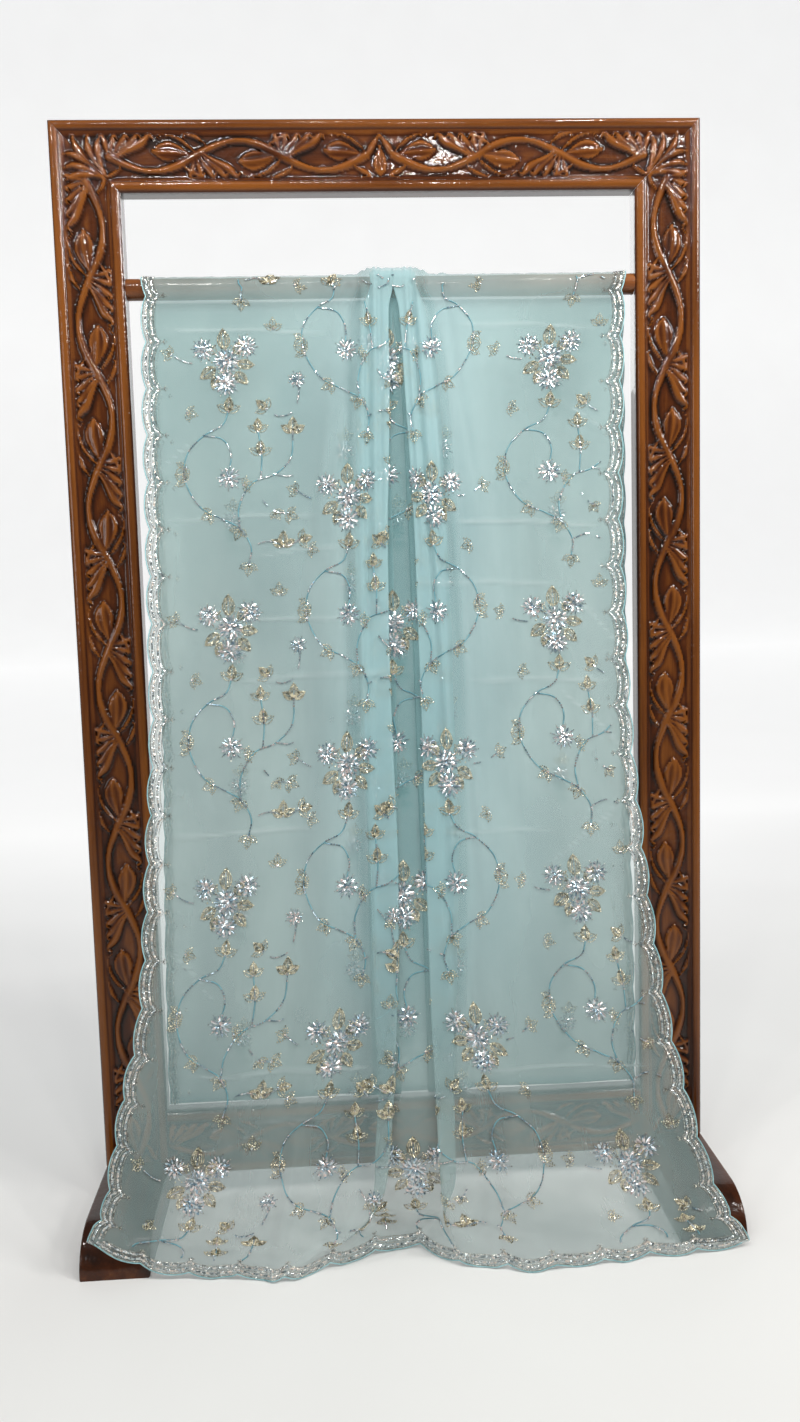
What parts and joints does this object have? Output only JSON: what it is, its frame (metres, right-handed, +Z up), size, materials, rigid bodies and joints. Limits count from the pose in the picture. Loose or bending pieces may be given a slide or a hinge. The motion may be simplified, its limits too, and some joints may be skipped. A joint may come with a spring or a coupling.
{
  "type": "silk saree on a wooden display stand",
  "caption": "Sheer silk saree with a scalloped beaded border, hung over the rod of a free-standing carved wooden stand.",
  "frame": {"origin": "on the floor, below the middle of the whole object's box", "axes": "+Z up, -Y towards whoever looks at the decorated end, +X to that viewer's right"},
  "size_m": [1.22, 0.6446, 2.089],
  "materials": {
    "silk": "sheer organza weave with a soft silk sheen",
    "carved_wood": "dark brown polished wood with glossy lacquer",
    "sequin": "silver sequins with a faint rainbow sheen",
    "bead": "clear silvered glass beads",
    "thread": "teal and grey-gold embroidery thread"
  },
  "bodies": {
    "root": {"front_fall": "silk", "rod_turn": "silk", "back_fall": "silk", "hanging_rod": "carved_wood", "post_left": "carved_wood", "post_right": "carved_wood", "top_rail": "carved_wood", "bottom_rail": "carved_wood", "foot_left": "carved_wood", "foot_right": "carved_wood"}
  },
  "joints": []
}
